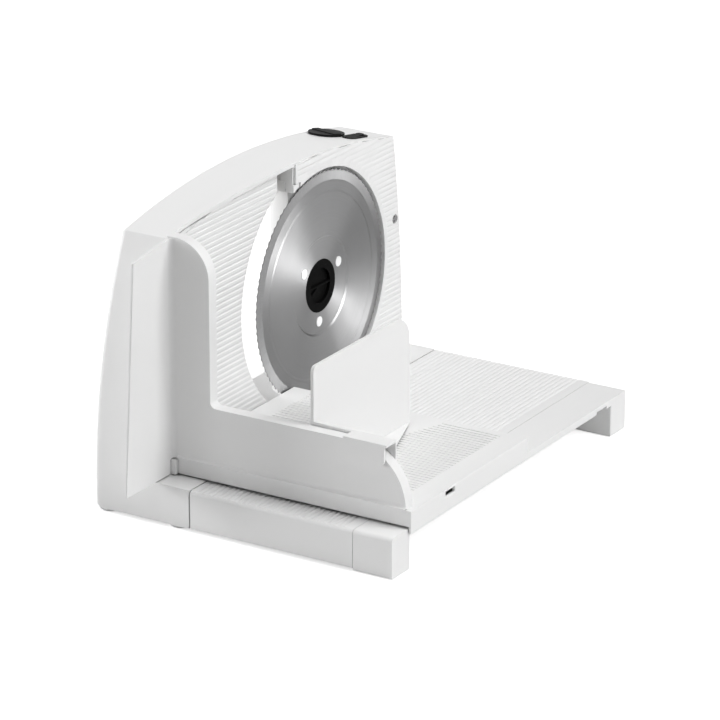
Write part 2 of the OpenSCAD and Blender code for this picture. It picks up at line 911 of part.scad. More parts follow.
module switch_bezel() {
    hole_l = switch_l - 2 * bezel_w;
    hole_w = switch_w - 2 * bezel_w;
    in_frame() color(control_black) switch_frame() difference() {
        union() {
            along_z(gap / 2, bezel_h) stadium(switch_l, switch_w);
            along_z(-bezel_drop, bezel_h) stadium(hole_l - 2 * seat, hole_w - 2 * seat);
        }
        along_z(-bezel_drop - over, bezel_h + over)
            stadium(hole_l - 2 * bezel_w + 2 * gap, hole_w - 2 * bezel_w + 2 * gap);
    }
}

// Rocker at rest with its far end raised
module switch_rocker() {
    rocker_l = switch_l - 4 * bezel_w - 2 * rocker_gap;
    rocker_w = switch_w - 4 * bezel_w - gap;
    in_frame() color(control_black) switch_frame() translate([0, 0, rocker_pivot])
        rotate([rocker_tilt, 0, 0]) intersection() {
            along_z(rocker_bottom - rocker_pivot, rocker_top - rocker_pivot)
                stadium(rocker_l, rocker_w);
            rod_x(-switch_w, switch_w, rocker_l / 2);
        }
}

module switch_box() {
    box_l = switch_l - 2 * bezel_w;
    box_w = switch_w - 2 * bezel_w;
    in_frame() color(control_black) switch_frame()
        translate([-box_w / 2, -box_l / 2, -bezel_drop - switch_box_h])
            cube([box_w, box_l, switch_box_h]);
}

module blade_rim() {
    rim_r = blade_d / 2;
    polygon([for (i = [0 : tooth_count * tooth_steps - 1])
        let (a = 360 * i / (tooth_count * tooth_steps), u = (i % tooth_steps) / tooth_steps)
        (rim_r - tooth_depth * abs(sin(180 * u))) * [cos(a), sin(a)]]);
}

module at_rivets() {
    at_axle() for (a = rivet_a) rotate([a, 0, 0]) translate([0, 0, rivet_circle_r]) children();
}

// Blade: a waved rim, a bevel and a pressed middle, turned about the axle
module blade() {
    root_r = blade_d / 2 - tooth_depth - root_lap;
    in_frame() color(steel) difference() {
        at_axle() rotate([0, 90, 0]) union() {
            translate([0, 0, -rim_half]) linear_extrude(2 * rim_half) blade_rim();
            rotate_extrude($fn = blade_fn) polygon([[0, blade_back], [middle_r - hub_run, blade_back],
                [middle_r, dish_back], [step_r - step_run, dish_back], [step_r + step_run, -rim_half],
                [root_r, -rim_half], [root_r, rim_half], [root_r - bevel_w, body_x],
                [step_r + step_run, body_x], [step_r - step_run, step_x], [middle_r, step_x],
                [middle_r - hub_run, hub_face], [0, hub_face]]);
        }
        at_axle() rod_x(blade_back - over, step_x + over, lock_d / 2 + fit);
        at_rivets() rod_x(blade_back - over, step_x, rivet_shank_r + seat);
    }
}

module blade_flange() {
    in_frame() color(gear_cream) difference() {
        at_axle() rod_x(flange_x0, blade_back, flange_r);
        at_axle() rod_x(flange_x0 - over, 0, axle_r + seat);
        at_axle() rod_x(cup_x - fit, 0, cup_r + fit);
        at_rivets() rod_x(rivet_x0 - fit, 0, rivet_shank_r + seat);
    }
}

module blade_rivets() {
    in_frame() color(steel) at_rivets() {
        rod_x(rivet_x0, hub_face + sliver, rivet_shank_r);
        rod_x(hub_face, hub_face + rivet_head_h, rivet_d / 2);
    }
}

// Bayonet lock: a black ring in the blade with a cup and a finger bar across it
module blade_lock() {
    in_frame() color(control_black) at_axle() difference() {
        union() {
            rod_x(blade_back + fit, hub_face + fit, lock_d / 2);
            rod_x(cup_x, 0, cup_r);
        }
        difference() {
            rod_x(cup_x + lock_web, over, lock_recess_r);
            block(cup_x, hub_face - gap, -lock_recess_r, lock_recess_r, -lock_bar / 2, lock_bar / 2);
            rotate([lock_rib_turn, 0, 0])
                block(cup_x, blade_back, lock_bar, lock_recess_r, -lock_rib / 2, lock_rib / 2);
        }
    }
}

module blade_axle() {
    in_frame() color(steel) at_axle() rod_x(rear_bush_x0 + gap, flange_x0 + flange_web, axle_r);
}

module bush(x0, x1, r) {
    at_axle() difference() {
        rod_x(x0, x1, r - seat);
        rod_x(x0 - over, x1 + over, axle_r + fit);
    }
}

module front_bush() {
    in_frame() color(bronze) bush(front_bush_x0, pocket_x - gap, axle_r + bush_t);
}

module rear_bush() {
    in_frame() color(bronze) bush(rear_bush_x0, rear_bush_x1, rear_bush_r);
}

// Worm wheel: teeth follow the worm's lead angle across the rim
module worm_wheel() {
    root = wheel_r - dedendum;
    tip = wheel_r + 0.9 * addendum;
    foot = wheel_tooth_share[0];
    top = wheel_tooth_share[1];
    lead_angle = atan(worm_lead / (2 * PI * worm_pitch_r));
    width = wheel_x1 - wheel_x0;
    turn = 180 / PI * width * tan(lead_angle) / wheel_r;
    in_frame() color(gear_cream) at_axle() difference() {
        union() {
            translate([wheel_x0, 0, 0]) rotate([90, 0, 90]) rotate([0, 0, -turn / 2])
                linear_extrude(width, twist = -turn, slices = 2)
                polygon([for (i = [0 : wheel_teeth - 1],
                    p = [[root, -foot], [tip, -top], [tip, top], [root, foot]])
                    p[0] * [cos(360 * (i + p[1]) / wheel_teeth), sin(360 * (i + p[1]) / wheel_teeth)]]);
            rod_x(rear_bush_x1 + gap, front_bush_x0 - gap, axle_r + boss_wall);
        }
        rod_x(rear_bush_x1, front_bush_x0, axle_r + seat);
    }
}

// Height of the worm's thread round one turn: crest, flank, valley, flank
function worm_profile(u) =
    u < worm_share[0] ? 1
    : u < worm_share[1] ? (worm_share[1] - u) / (worm_share[1] - worm_share[0])
    : u < worm_share[2] ? 0
    : (u - worm_share[2]) / (1 - worm_share[2]);

// Rotor: shaft, worm thread and the wound core inside the can
module motor_rotor() {
    root = worm_pitch_r - dedendum;
    tip = worm_pitch_r + 0.9 * addendum;
    turns = 2 * worm_half / worm_lead;
    in_frame() color(steel) translate([worm_x, worm_y, axle_z]) {
        rotate([0, 0, worm_turn - 360 * worm_half / worm_lead]) translate([0, 0, -worm_half])
            linear_extrude(2 * worm_half, twist = -360 * turns, slices = round(worm_slices * turns),
                $fn = worm_points)
            polygon([for (i = [0 : worm_points - 1]) let (u = i / worm_points)
                (root + (tip - root) * worm_profile(u)) * [cos(360 * u), sin(360 * u)]]);
        translate([0, 0, motor_z0 + can_t - axle_z])
            cylinder(h = bracket_z1 + bracket_t + over - motor_z0 - can_t, r = shaft_r);
        translate([0, 0, motor_z0 + wall + gap - axle_z]) cylinder(h = bell_h - wall, r = commutator_r);
        translate([0, 0, motor_z0 + bell_h + can_t - axle_z]) cylinder(h = armature_l, r = armature_r);
    }
}

module motor_can() {
    in_frame() color(steel) translate([worm_x, worm_y, 0]) difference() {
        translate([0, 0, motor_z0 + bell_h]) cylinder(h = motor_l - bell_h, r = motor_d / 2);
        translate([0, 0, motor_z0 + bell_h - over])
            cylinder(h = motor_l - bell_h - can_t + over, r = motor_d / 2 - can_t);
        translate([0, 0, motor_top_z - can_t - over]) cylinder(h = can_t + 2 * over, r = shaft_r + fit);
        for (side = [-1, 1]) translate([side * motor_bolt_dx, 0, motor_top_z - can_t - over])
            cylinder(h = can_t + 2 * over, r = bolt_r + seat);
    }
}

module motor_magnets() {
    in_frame() color(control_black) translate([worm_x, worm_y, 0]) difference() {
        translate([0, 0, motor_z0 + bell_h + can_t]) cylinder(h = armature_l, r = motor_d / 2 - can_t - seat);
        translate([0, 0, motor_z0]) cylinder(h = motor_l, r = armature_r + air_gap);
        translate([-magnet_gap / 2, -motor_d, motor_z0]) cube([magnet_gap, 2 * motor_d, motor_l]);
    }
}

// Two brushes, each with its contact tab through the end bell
module motor_brushes() {
    z0 = motor_z0 + wall + brush_rise;
    in_frame() color(bronze) translate([worm_x, worm_y, 0]) for (side = [0, 180]) rotate([0, 0, side]) {
        block(commutator_r + gap, motor_bolt_dx, -brush_w / 2, brush_w / 2, z0, z0 + brush_h);
        block(motor_bolt_dx - tab_t, motor_bolt_dx, -brush_w / 2, brush_w / 2,
            motor_z0 - tab_l, z0 + brush_h / 2);
    }
}

module motor_end_bell() {
    in_frame() color(control_black) translate([worm_x, worm_y, 0]) difference() {
        translate([0, 0, motor_z0]) cylinder(h = bell_h, r = motor_d / 2);
        translate([0, 0, motor_z0 + wall]) cylinder(h = bell_h, r = motor_d / 2 - can_t);
        translate([0, 0, motor_z0 + can_t - gap]) cylinder(h = bell_h, r = shaft_r + fit);
        for (side = [0, 180]) rotate([0, 0, side])
            block(motor_bolt_dx - tab_t - seat, motor_bolt_dx + seat, -brush_w / 2 - seat,
                brush_w / 2 + seat, motor_z0 - over, motor_z0 + bell_h);
    }
}

module motor_bracket() {
    top_y = bracket_y0 + wheel_r / 2;
    back_y = web_y + bracket_t;
    top_z = bracket_z1 + bracket_t;
    in_frame() color(steel) difference() {
        union() {
            along_x(bracket_x0, bracket_x1) polygon([[bracket_y0, bracket_z0], [back_y, bracket_z0],
                [back_y, top_z], [top_y, top_z], [top_y, bracket_z1], [web_y, bracket_z1],
                [web_y, bracket_z0 + bracket_t], [bracket_y0, bracket_z0 + bracket_t]]);
            block(flange_x, flange_x + bracket_t, web_y, flange_y1, bracket_z0, bracket_z1);
        }
        translate([worm_x, worm_y, bracket_z0 - over])
            cylinder(h = top_z - bracket_z0 + 2 * over, r = shaft_r + fit);
        for (side = [-1, 1]) translate([worm_x + side * motor_bolt_dx, worm_y, bracket_z0 - over])
            cylinder(h = bracket_t + 2 * over, r = bolt_r + seat);
        for (z = bracket_bolt_z) at_yz([bracket_bolt_y, z])
            rod_x(flange_x - over, flange_x + bracket_t + over, bolt_r + seat);
    }
}

module motor_screws() {
    in_frame() color(steel) for (side = [-1, 1])
        translate([worm_x + side * motor_bolt_dx, worm_y, bracket_z0 + bracket_t + bolt_head_h])
            rotate([0, 90, 0]) screw(bolt_head_h + bracket_t + can_t);
}

module bracket_screws() {
    length = bolt_head_h + pan_x - flange_x;
    in_frame() color(steel) for (z = bracket_bolt_z)
        translate([flange_x - bolt_head_h, bracket_bolt_y, z]) screw(length);
}

// Grooves of the table, along Y on a face that looks up
module deck_grooves(x0, x1, y0, y1, z) {
    n = floor((x1 - x0) / rib_pitch);
    for (i = [0 : n - 1]) block(x0 + i * rib_pitch, x0 + (i + groove_share) * rib_pitch, y0, y1,
        z - rib_depth, z + over);
}

module table() {
    x1 = rail_x - gap / 2;
    in_frame() color(shell_white) difference() {
        union() {
            difference() {
                block(table_x0, x1, -near_y, table_y1, foot_gap, table_z);
                block(table_x0 + skirt_t, x1 - skirt_t, skirt_t - near_y, table_y1 - skirt_t,
                    0, table_z - deck_t);
                deck_grooves(table_x0 + rib_pitch, x1 - rib_pitch / 2, -near_y - over,
                    table_y1 + over, table_z);
                translate([0, -near_y, table_z]) rotate([0, 90, 0]) edge_round(x1 + over);
            }
            for (y = lug_y) hull() {
                translate([pin_x, y - lug_w / 2, pin_z]) rotate([-90, 0, 0]) cylinder(h = lug_w, r = lug_r);
                block(table_x0, table_x0 + skirt_t, y - lug_w / 2, y + lug_w / 2,
                    pin_z - lug_r, pin_z + lug_r);
            }
            for (y = rail_bolt_y) block(x1 - skirt_t, rail_x + rail_flange, y - lug_w / 2, y + lug_w / 2,
                table_z - strip_t - gap - deck_t, table_z - strip_t - gap);
        }
        for (y = lug_y) translate([pin_x, y - lug_w, pin_z]) rotate([-90, 0, 0])
            cylinder(h = 2 * lug_w, r = pin_r + fit);
        for (y = rail_bolt_y) translate([rail_x + rail_flange / 2, y, 0])
            cylinder(h = table_z, r = bolt_r + gap);
    }
}

// What a rounded near edge takes off a straight one
module edge_round(length) {
    difference() {
        translate([-over, -over, 0]) cube([table_edge_r + over, table_edge_r + over, length]);
        translate([table_edge_r, table_edge_r, -over]) cylinder(h = length + 2 * over, r = table_edge_r);
    }
}

module end_rail() {
    x0 = rail_x + gap / 2;
    under_z = table_z - strip_t;
    far_leg_y = table_y1 - far_leg;
    near_leg_y = near_leg - near_y;
    in_frame() color(shell_white) difference() {
        union() {
            block(x0, table_x1, -near_y, table_y1, under_z, table_z);
            block(x0, table_x1, -near_y, near_leg_y, 0, table_z);
            block(x0, table_x1, far_leg_y, table_y1, 0, table_z);
        }
        block(x0 + leg_t, table_x1 - leg_t, leg_t - near_y, near_leg_y - leg_t, -over, under_z);
        block(x0 + leg_t, table_x1 - leg_t, far_leg_y + leg_t, table_y1 - leg_t, -over, under_z);
        block(table_x1 - leg_t, table_x1 + over, notch_y, notch_y + notch_w, under_z - over,
            under_z + notch_d);
        translate([0, -near_y, table_z]) rotate([0, 90, 0]) edge_round(table_x1 + over);
        for (y = rail_bolt_y) translate([rail_x + rail_flange / 2, y, under_z - over])
            cylinder(h = strip_t - over, r = bolt_r + seat);
    }
}

module rail_screws() {
    z0 = table_z - strip_t - gap - deck_t;
    in_frame() color(steel) for (y = rail_bolt_y) translate([rail_x + rail_flange / 2, y, z0 - bolt_head_h])
        rotate([0, -90, 0]) screw(bolt_head_h + deck_t + strip_t - 2 * over);
}

module hinge_pins() {
    in_frame() color(steel) for (y = lug_y) translate([pin_x, y - pin_l / 2 + gap, pin_z])
        rotate([-90, 0, 0]) cylinder(h = pin_l - 2 * gap, r = pin_r);
}

module tray_ribs() {
    y0 = carriage_y0 + wall_y_t + field_border;
    y1 = carriage_y1 - field_border;
    n = floor((y1 - y0) / field_pitch);
    z0 = carriage_z - tray_t / 2;
    z1 = carriage_z + tray_rib;
    for (i = [0 : n]) let (y = y0 + i * field_pitch, end = y + field_rib_share * field_pitch,
        run = field_run * i / n) {
        block(field_x0, field_x0 + field_near_l + run, y, end, z0, z1);
        block(field_x0 + field_skip + run, field_x1, y, end, z0, z1);
    }
}

module carriage_tray() {
    in_y0 = carriage_y0 + skirt_t;
    in_y1 = carriage_y1 - skirt_t;
    in_x1 = carriage_x1 - side_t;
    in_frame() color(shell_white) difference() {
        union() {
            difference() {
                block(carriage_x0, carriage_x1, carriage_y0, carriage_y1, lip_z, carriage_z);
                block(carriage_x0 + skirt_t, in_x1, in_y0, in_y1, 0, carriage_z - tray_t);
            }
            block(in_x1, carriage_x1, carriage_y0, carriage_y1, side_z, carriage_z);
            for (share = runner_share) let (x = share * carriage_x1)
                block(x, x + runner_w, in_y0 - sliver, in_y1 + sliver,
                table_z + gap, carriage_z - tray_t + sliver);
            block(lug_x0, lug_x1, carriage_y0 - lug_out, carriage_y0 + sliver, lip_z, lug_top);
            for (x = wall_bolt_x) translate([x, wall_bolt_y, carriage_z - 2 * tray_t])
                cylinder(h = tray_t + sliver, r = cover_post_r);
            tray_ribs();
        }
        block(in_x1 - over, carriage_x1 + over, catch_y - catch_l / 2, catch_y + catch_l / 2,
            catch_z - catch_h / 2, catch_z + catch_h / 2);
        for (x = wall_bolt_x) translate([x, wall_bolt_y, lip_z - over])
            cylinder(h = carriage_z - lip_z + 2 * over, r = bolt_r + gap);
    }
}

// Face of the wall: tall beside the blade, low along the carriage, quarter round at its end
module wall_face(inset = 0) {
    x0 = carriage_x0 + inset;
    end_x = low_end_x - low_end_r;
    step_z = wall_tall_z - tall_corner_r;
    translate([x0, carriage_z]) square([end_x - x0, low_end_r - inset]);
    intersection() {
        translate([end_x, carriage_z]) circle(r = low_end_r - inset);
        translate([end_x - over, carriage_z]) square([low_end_r + over, low_end_r]);
    }
    translate([x0, carriage_z]) square([wall_tall_x - x0 - inset, step_z - carriage_z]);
    translate([x0, carriage_z])
        square([wall_tall_x - tall_corner_r - x0, wall_tall_z - carriage_z - inset]);
    translate([wall_tall_x - tall_corner_r, step_z]) intersection() {
        circle(r = tall_corner_r - inset);
        square(tall_corner_r - inset);
    }
    if (inset == 0) translate([wall_tall_x, wall_low_z]) difference() {
        translate([-sliver, -sliver]) square(cove_r + sliver);
        translate([cove_r, cove_r]) circle(r = cove_r);
    }
}

module carriage_wall() {
    y1 = carriage_y0 + wall_y_t;
    in_frame() color(shell_white) difference() {
        union() {
            along_y(carriage_y0, y1) wall_face();
            along_x(carriage_x0, carriage_x0 + guard_t) polygon([[carriage_y0 + wall_skin, lip_z],
                [guard_y, lip_z], [guard_top_y, guard_top_z],
                [carriage_y0 + wall_skin, wall_tall_z - guard_join]]);
            cove();
            foot_bead();
        }
        difference() {
            along_y(carriage_y0 + wall_skin, y1 - wall_skin) wall_face_room();
            for (x = wall_bolt_x) translate([x, wall_bolt_y, carriage_z])
                cylinder(h = 4 * wall_skin, r = wall_y_t / 2);
        }
        block(lug_x1, carriage_x1, carriage_y0 - bead_r - over, carriage_y0 + groove_d,
            carriage_z - over, carriage_z + groove_h);
        for (x = wall_bolt_x) translate([x, wall_bolt_y, carriage_z - over])
            cylinder(h = 3 * wall_skin + over, r = bolt_r + seat);
        block(carriage_x0 - over, lug_x1 + gap, carriage_y0 - lug_out - gap, y1 + over, 0, carriage_z);
    }
}

module wall_face_room() {
    x0 = carriage_x0 + guard_t + wall_skin;
    intersection() {
        wall_face(wall_skin);
        translate([x0, 0]) square([carriage_x1, crown_z]);
    }
    translate([x0, carriage_z - over]) square([low_end_x - low_end_r - x0, wall_skin + over]);
}

// Concave fillet between the thumb guard and the wall
module cove() {
    x = carriage_x0 + guard_t;
    along_z(carriage_z, wall_tall_z - over) difference() {
        translate([x - sliver, carriage_y0 - cove_r]) square([cove_r + sliver, cove_r + sliver]);
        translate([x + cove_r, carriage_y0 - cove_r]) circle(r = cove_r);
    }
}

// Flared foot of the wall, over the groove above the carriage's skirt
module foot_bead() {
    z = carriage_z + groove_h;
    along_x(lug_x1 + gap, low_end_x) difference() {
        translate([carriage_y0 - bead_r, z]) square([bead_r + sliver, bead_lip + bead_r]);
        translate([carriage_y0 - bead_r, z + bead_lip + bead_r]) circle(r = bead_r);
    }
}

module wall_screws() {
    in_frame() color(steel) for (x = wall_bolt_x)
        translate([x, wall_bolt_y, carriage_z - 2 * tray_t - bolt_head_h])
            rotate([0, -90, 0]) screw(bolt_head_h + 2 * tray_t + 2 * wall_skin);
}

// Remnant holder: pushing plate, guide strip inside the wall, hook over the wall, gusset
module remnant_holder() {
    y0 = carriage_y0 + wall_y_t + gap;
    y1 = y0 + holder_floor;
    floor_z = carriage_z + tray_rib + 2 * gap;
    hook_z = wall_low_z + gap;
    top_z = hook_z + ledge_h;
    out_y = carriage_y0 - gap - hook_t;
    in_frame() color(shell_white) union() {
        along_x(holder_x, holder_x + holder_t) plate_face_outline(y0, holder_y1, floor_z, holder_z);
        block(holder_x, hook_x1, y0, y1, floor_z, top_z);
        block(hook_x0, hook_x1, out_y, y1, hook_z, top_z);
        block(hook_x0, hook_x1 - hook_t, out_y, out_y + hook_t, hook_z - hook_drop, top_z);
        along_z(floor_z, floor_z + holder_floor) polygon([[holder_x, y0], [holder_x + gusset_x, y0],
            [holder_x + holder_t, holder_y1], [holder_x, holder_y1]]);
    }
}

module plate_face_outline(y0, y1, z0, z1) {
    far_y0 = y1 - corner_far_r;
    translate([y0, z0]) square([far_y0 - y0, z1 - z0 - corner_near_r]);
    translate([y0 + corner_near_r, z0]) square([far_y0 - y0 - corner_near_r, z1 - z0]);
    translate([y0 + corner_near_r, z1 - corner_near_r]) circle(r = corner_near_r);
    translate([far_y0, z1 - corner_far_r]) circle(r = corner_far_r);
    translate([far_y0 - over, z0]) square([corner_far_r + over, z1 - z0 - corner_far_r]);
}

housing();
rear_cover();
rear_cover_screws();
cord_gland();
rubber_feet();
front_plate();
front_plate_screw();
stop_plate();
stop_carrier();
guide_rods();
thickness_dial();
dial_pinion();
switch_bezel();
switch_rocker();
switch_box();
blade();
blade_flange();
blade_rivets();
blade_lock();
blade_axle();
front_bush();
rear_bush();
worm_wheel();
motor_rotor();
motor_can();
motor_magnets();
motor_brushes();
motor_end_bell();
motor_bracket();
motor_screws();
bracket_screws();
table();
end_rail();
rail_screws();
hinge_pins();
carriage_tray();
carriage_wall();
wall_screws();
remnant_holder();
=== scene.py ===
# %% [markdown]
# # An electric food slicer
#
# A white moulded arch carries a round toothed blade. A plate behind the blade sets how
# thick a slice gets, and a carriage on a low table pushes the food past the blade.
#
# The shape of every part comes from the CAD model, which is loaded as a fixed frame.
# This lesson rounds the moulded edges, gives each part its finish, and lights it.

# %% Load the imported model
import json
import math

import bmesh
import bpy
from mathutils import Matrix, Vector


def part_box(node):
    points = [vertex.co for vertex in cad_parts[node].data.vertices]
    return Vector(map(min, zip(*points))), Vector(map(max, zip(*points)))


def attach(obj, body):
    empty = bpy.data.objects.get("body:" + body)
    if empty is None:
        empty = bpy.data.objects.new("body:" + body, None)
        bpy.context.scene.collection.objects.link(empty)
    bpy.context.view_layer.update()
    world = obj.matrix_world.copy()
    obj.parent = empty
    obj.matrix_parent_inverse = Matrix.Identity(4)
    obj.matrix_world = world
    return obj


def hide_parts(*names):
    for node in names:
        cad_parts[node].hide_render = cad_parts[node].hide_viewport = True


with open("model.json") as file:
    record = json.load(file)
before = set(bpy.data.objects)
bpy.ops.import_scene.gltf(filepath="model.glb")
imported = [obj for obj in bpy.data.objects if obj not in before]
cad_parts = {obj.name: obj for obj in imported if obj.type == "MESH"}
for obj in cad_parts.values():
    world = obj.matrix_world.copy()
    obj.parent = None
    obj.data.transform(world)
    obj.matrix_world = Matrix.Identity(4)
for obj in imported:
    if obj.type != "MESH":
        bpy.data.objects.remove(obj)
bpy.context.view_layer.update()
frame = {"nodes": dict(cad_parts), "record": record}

MM = 0.001

# %% [markdown]
# ## Where things are
#
# A few places are used again and again: the axle that the blade turns on, and the box
# of a part. They are read from the frame, so the lesson still fits if a size changes.

# %% Places read from the frame
def box_of(node):
    low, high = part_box(node)
    return Vector(low), Vector(high)


def middle_of(node):
    low, high = box_of(node)
    return (low + high) / 2


axle = middle_of("blade")
blade_low, blade_high = box_of("blade")
blade_r = (blade_high.z - blade_low.z) / 2
print("blade radius in mm:", round(blade_r / MM, 2))

# %% [markdown]
# ## The camera
#
# The slicer is seen from the front right and from above, through a long lens, so its
# upright edges stay almost parallel. A long lens far away does the same here.

# %% Make the camera
CAMERA_PLACE = Vector((1.41897, -2.30669, 1.08834))
CAMERA_TURN = math.radians(31.53)
CAMERA_RISE = math.radians(20.31)
CAMERA_LENS = 207.518
SENSOR_WIDTH = 36

camera_data = bpy.data.cameras.new("studio_camera")
camera_data.sensor_width = SENSOR_WIDTH
camera_data.lens = CAMERA_LENS
camera_data.clip_start = 0.1
camera_data.clip_end = 60
camera = bpy.data.objects.new("studio_camera", camera_data)
bpy.context.scene.collection.objects.link(camera)
camera.location = CAMERA_PLACE
camera_back = Vector((
    math.sin(CAMERA_TURN) * math.cos(CAMERA_RISE),
    -math.cos(CAMERA_TURN) * math.cos(CAMERA_RISE),
    math.sin(CAMERA_RISE),
))
camera.rotation_euler = (-camera_back).to_track_quat("-Z", "Y").to_euler()
bpy.context.scene.camera = camera
bpy.context.scene.view_settings.view_transform = "Standard"
print("camera", round(CAMERA_PLACE.length, 2), "m from the slicer's foot")

# %% [markdown]
# ## Writing shader maths as plain Python
#
# A finish is a web of nodes. Typing it as sums is easier to read than adding each node
# by hand, so one small class wraps a socket and turns + - * into Math nodes.

# %% A socket that can be added and multiplied
class Wire:
    """One output socket, or one number, inside a finish."""

    def __init__(self, finish, socket):
        self.finish = finish
        self.socket = socket

    def maths(self, operation, first, second=0.0):
        return self.finish.node("Math", {"operation": operation}, {0: first, 1: second})

    def __add__(self, other):
        return self.maths("ADD", self, other)

    def __sub__(self, other):
        return self.maths("SUBTRACT", self, other)

    def __rsub__(self, other):
        return self.maths("SUBTRACT", other, self)

    def __mul__(self, other):
        return self.maths("MULTIPLY", self, other)

    __radd__ = __add__
    __rmul__ = __mul__

    def root(self):
        return self.maths("SQRT", self)

    def between(self, low, high, to_low=0.0, to_high=1.0):
        """Runs smoothly from to_low at low to to_high at high."""
        return self.finish.node(
            "MapRange", {"interpolation_type": "SMOOTHSTEP"},
            {"Value": self, "From Min": low, "From Max": high,
             "To Min": to_low, "To Max": to_high})


class Finish:
    """A material that is built from nodes."""

    def __init__(self, name):
        self.material = bpy.data.materials.new(name)
        self.material.use_nodes = True
        self.tree = self.material.node_tree
        self.tree.nodes.clear()
        self.end = self.tree.nodes.new("ShaderNodeOutputMaterial")

    def node(self, kind, settings=None, values=None, out=0):
        """Adds a node: its settings first, then the values or links of its sockets."""
        made = self.tree.nodes.new("ShaderNode" + kind)
        for key, value in (settings or {}).items():
            setattr(made, key, value)
        for key, value in (values or {}).items():
            self.feed(made, key, value)
        return Wire(self, made.outputs[out])

    def feed(self, made, key, value):
        if isinstance(key, int):
            target = made.inputs[key]
        else:
            target = next(s for s in made.inputs if s.name == key and s.enabled)
        if isinstance(value, Wire):
            self.tree.links.new(value.socket, target)
        elif isinstance(value, tuple) and len(value) == 3 and target.type == "RGBA":
            target.default_value = (*value, 1.0)
        else:
            target.default_value = value

    def place(self):
        """Where a point is on the object, in metres."""
        return self.node("TexCoord", out="Object")

    def parts(self, vector):
        split = self.node("SeparateXYZ", values={0: vector}).socket.node
        return [Wire(self, s) for s in split.outputs]

    def noise(self, vector, scale, detail=2.0, rough=0.5):
        return self.node("TexNoise", None, {
            "Vector": vector, "Scale": scale, "Detail": detail, "Roughness": rough})

    def openness(self, distance, samples=6):
        """How open the space before a point is: 0 deep in a seam, 1 on a free face."""
        return self.node(
            "AmbientOcclusion", {"samples": samples}, {"Distance": distance}, out=1)

    def mix(self, share, first, second):
        """One colour turning into another."""
        return self.node("Mix", {"data_type": "RGBA"},
                         {"Factor": share, "A": first, "B": second}, out=2)

    def bump(self, height, depth):
        return self.node(
            "Bump", None, {"Height": height, "Distance": depth, "Strength": 1.0})

    def surface(self, **values):
        """The main shader. Spaces in its socket names are written as underscores."""
        return self.node("BsdfPrincipled", None,
                         {k.replace("_", " "): v for k, v in values.items()})

    def done(self, shader):
        self.tree.links.new(shader.socket, self.end.inputs["Surface"])
        return self.material


# %% [markdown]
# ## White moulded plastic
#
# The shell is white plastic from a lightly textured mould. Close up, the mould leaves
# a fine grain. Further away only its gloss changes slowly from patch to patch, which
# keeps a large white face from looking like paper.
#
# Narrow seams, gaps and the recess round the blade get painted shade: their colour turns
# grey where shade would fall. The Ambient Occlusion node finds them: it is low where
# something stands close in front of a point. Shallow grooves between ribs are open enough
# to stay white.

# %% Satin white
# How far the painted shade in seams and recesses looks, and where it is full and where it
# is gone.
PAINTED_SHADE_REACH = 5.0 * MM
PAINTED_SHADE_FULL, PAINTED_SHADE_GONE = 0.05, 0.45
GRAIN_SCALE, PATCH_SCALE = 2400.0, 9.0
PATCH_SHADE = 0.985


def satin_white(name, tone, painted_shade_tone):
    finish = Finish(name)
    place = finish.place()
    grain = finish.noise(place, GRAIN_SCALE, 2.0)
    flow = finish.noise(place, PATCH_SCALE, 3.0)
    clean = finish.mix(flow, tone, tuple(c * PATCH_SHADE for c in tone))
    # Painted shade: the colour turns grey where little space is open in front of a point.
    free = finish.openness(PAINTED_SHADE_REACH).between(PAINTED_SHADE_FULL, PAINTED_SHADE_GONE)
    gloss = flow.between(0.3, 0.7, 0.36, 0.44) + (grain - 0.5) * 0.06
    return finish.done(finish.surface(
        Base_Color=finish.mix(free, painted_shade_tone, clean), Roughness=gloss, IOR=1.49,
        Specular_IOR_Level=0.25, Normal=finish.bump(grain, 0.012 * MM)))


WHITE = (0.87, 0.87, 0.868)
# The grey of the painted shade in seams, gaps and recesses.
PAINTED_SHADE_GREY = (0.16, 0.16, 0.163)
shell_white = satin_white("shell_white_satin", WHITE, PAINTED_SHADE_GREY)

# %% [markdown]
# ## Black controls and the blade's lock
#
# The dial, the switch and the lock in the blade's middle are black plastic. Fingers
# polish the tops, so the gloss varies in soft smears over a fine grain. The lock is the
# dullest of them, and its shine is turned down on the shader itself.

# %% Matt black
def matt_plastic(name, tone, low_gloss, high_gloss, shine=0.5):
    finish = Finish(name)
    place = finish.place()
    grain = finish.noise(place, 3200.0, 2.0)
    smear = finish.noise(place, 60.0, 4.0, 0.6)
    colour = finish.mix(smear, tone, tuple(c * 1.3 for c in tone))
    gloss = smear.between(0.35, 0.65, low_gloss, high_gloss)
    return finish.done(finish.surface(
        Base_Color=colour, Roughness=gloss, IOR=1.5, Specular_IOR_Level=shine,
        Normal=finish.bump(grain, 0.015 * MM)))


control_black = matt_plastic("control_black_matt", (0.008, 0.008, 0.008), 0.4, 0.5, 0.03)
lock_black = matt_plastic("lock_black_dull", (0.003, 0.003, 0.003), 0.5, 0.62, 0.02)
rubber_grey = matt_plastic("rubber_grey_matt", (0.56, 0.56, 0.565), 0.7, 0.85)
gear_cream = matt_plastic("gear_cream_natural", (0.62, 0.58, 0.46), 0.4, 0.5)

# %% [markdown]
# ## The blade's steel
#
# The disc is turned and polished in circles, so its scratches run round the axle. Such
# a surface spreads light across the scratches, which gives the bright fans that turn
# with the eye. The ground bevel is cut the other way, from the rim inwards. One shader
# with round scratches and one with cross scratches are mixed by the distance from the
# axle.

# %% Steel that is brushed round the axle
BEVEL_WIDTH = 6.5 * MM
TOOTH_DEPTH = 1.1 * MM
BEVEL_BLEND = 0.2 * MM
RINGS_PER_METRE, RING_DRIFT = 9000.0, 0.35
CUTS_PER_RADIAN, CUT_DRIFT = 260.0, 60.0


